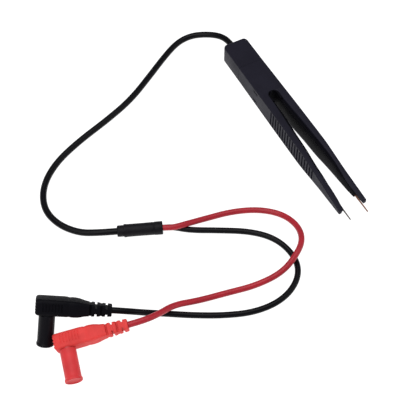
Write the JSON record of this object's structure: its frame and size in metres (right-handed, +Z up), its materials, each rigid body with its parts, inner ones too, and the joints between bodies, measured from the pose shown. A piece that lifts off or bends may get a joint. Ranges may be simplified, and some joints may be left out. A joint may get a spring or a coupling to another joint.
{
  "type": "component tester",
  "caption": "Tweezer-shaped component tester: needle-tipped spring arms on a flat handle, a cable that splits into black and red leads, and capped right-angle 4 mm safety plugs.",
  "frame": {"origin": "on the surface it lies on, under the middle of the tweezers' footprint", "axes": "+Z up from the surface; +Y along the tweezers from the needle tips to the cable; +X across the arms, towards the arm with the copper needle"},
  "size_m": [0.2225, 0.2196, 0.0293],
  "materials": {
    "housing": "satin, fine moulded texture",
    "inner_plastic": "matt",
    "cable_jacket": "satin",
    "red_jacket": "satin",
    "sleeve": "satin",
    "black_overmould": "satin, soft touch",
    "red_overmould": "satin, soft touch",
    "black_shroud": "smooth",
    "red_shroud": "smooth",
    "black_cap": "semi-gloss",
    "red_cap": "semi-gloss",
    "needle_steel": "drawn wire",
    "needle_copper": "drawn wire",
    "nickel": "nickel plated, turned",
    "contact_spring": "gold plated",
    "copper": "stranded conductor",
    "black_insulation": "smooth",
    "red_insulation": "smooth"
  },
  "bodies": {
    "handle": {"upper_shell": "housing", "lower_shell": "housing", "rear_cap": "housing", "cable_clamp": "inner_plastic", "cable_end": "cable_jacket", "black_core_wire": "black_insulation", "red_core_wire": "red_insulation", "main_cable": "cable_jacket", "splitter_inner_sleeve": "sleeve", "splitter_outer_sleeve": "sleeve", "red_lead": "red_jacket", "black_lead": "cable_jacket", "black_plug_body": "black_overmould", "black_plug_shroud": "black_shroud", "black_plug_pin": "nickel", "black_plug_spring": "contact_spring", "black_plug_wire": "copper", "red_plug_body": "red_overmould", "red_plug_shroud": "red_shroud", "red_plug_pin": "nickel", "red_plug_spring": "contact_spring", "red_plug_wire": "copper"},
    "left_arm": {"left_arm": "housing", "left_arm_liner": "inner_plastic", "left_needle": "needle_steel", "left_arm_wire": "black_insulation"},
    "right_arm": {"right_arm": "housing", "right_arm_liner": "inner_plastic", "right_needle": "needle_copper", "right_arm_wire": "red_insulation"},
    "black_cap": {"black_plug_cap": "black_cap"},
    "red_cap": {"red_plug_cap": "red_cap"}
  },
  "joints": [
    {"name": "left_arm_flex", "type": "hinge", "parent": "handle", "child": "left_arm", "pos_m": [-0.00665, 0.024, 0.007], "axis": [0, 0, 1], "range_deg": [0, 3.26], "stiffness_Nm_per_rad": 1.2},
    {"name": "right_arm_flex", "type": "hinge", "parent": "handle", "child": "right_arm", "pos_m": [0.00665, 0.024, 0.007], "axis": [0, 0, -1], "range_deg": [0, 3.26], "stiffness_Nm_per_rad": 1.2},
    {"name": "black_cap_pull", "type": "slide", "parent": "handle", "child": "black_cap", "axis": [-0.3739, -0.4891, -0.788], "range_m": [0, 0.026]},
    {"name": "red_cap_pull", "type": "slide", "parent": "handle", "child": "red_cap", "axis": [-0.2326, -0.9615, -0.1461], "range_m": [0, 0.026]}
  ]
}
